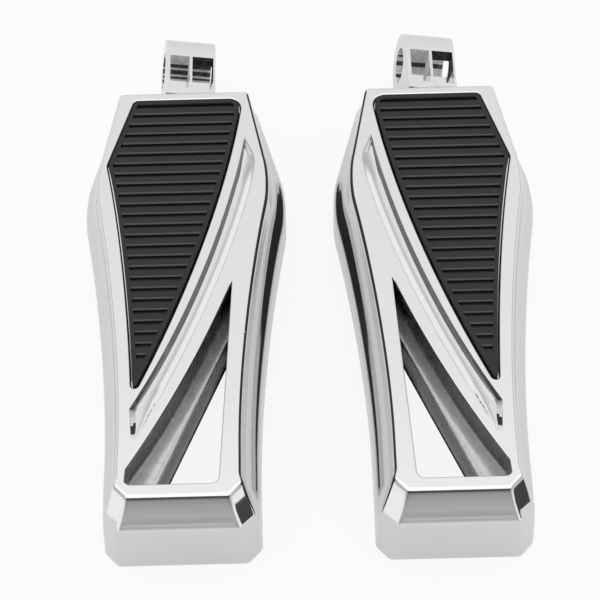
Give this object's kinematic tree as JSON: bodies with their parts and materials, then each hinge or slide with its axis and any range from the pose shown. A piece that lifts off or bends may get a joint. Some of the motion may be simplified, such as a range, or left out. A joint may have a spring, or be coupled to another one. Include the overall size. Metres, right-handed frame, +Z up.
{
  "type": "motorcycle foot peg pair",
  "caption": "Pair of chromed motorcycle foot pegs with ribbed rubber tread pads, a triangular window and a bolted pin tongue on each.",
  "frame": {"origin": "middle of the pair's outline, on the surface that the pegs lie on", "axes": "+Y along the pegs towards the mounting tongues, +Z up out of the tread, +X from the left peg to the right peg"},
  "size_m": [0.1236, 0.1566, 0.0244],
  "materials": {
    "chrome_body": "polished chrome plate on a casting",
    "chrome_tongue": "chrome plate, rough inside the slot",
    "rubber_pad": "matt black moulded rubber",
    "plate_steel": "black coated steel",
    "zinc_steel": "zinc plated steel"
  },
  "bodies": {
    "root": {"left_body": "chrome_body", "left_tread_pad": "rubber_pad", "left_pad_plate": "plate_steel", "left_pad_washer_1": "zinc_steel", "left_pad_washer_2": "zinc_steel", "left_pad_washer_3": "zinc_steel", "left_pad_nut_1": "zinc_steel", "left_pad_nut_2": "zinc_steel", "left_pad_nut_3": "zinc_steel", "left_tongue": "chrome_tongue", "left_tongue_bolt": "zinc_steel", "left_spring_washer": "zinc_steel", "right_body": "chrome_body", "right_tread_pad": "rubber_pad", "right_pad_plate": "plate_steel", "right_pad_washer_1": "zinc_steel", "right_pad_washer_2": "zinc_steel", "right_pad_washer_3": "zinc_steel", "right_pad_nut_1": "zinc_steel", "right_pad_nut_2": "zinc_steel", "right_pad_nut_3": "zinc_steel", "right_tongue": "chrome_tongue", "right_tongue_bolt": "zinc_steel", "right_spring_washer": "zinc_steel"}
  },
  "joints": []
}
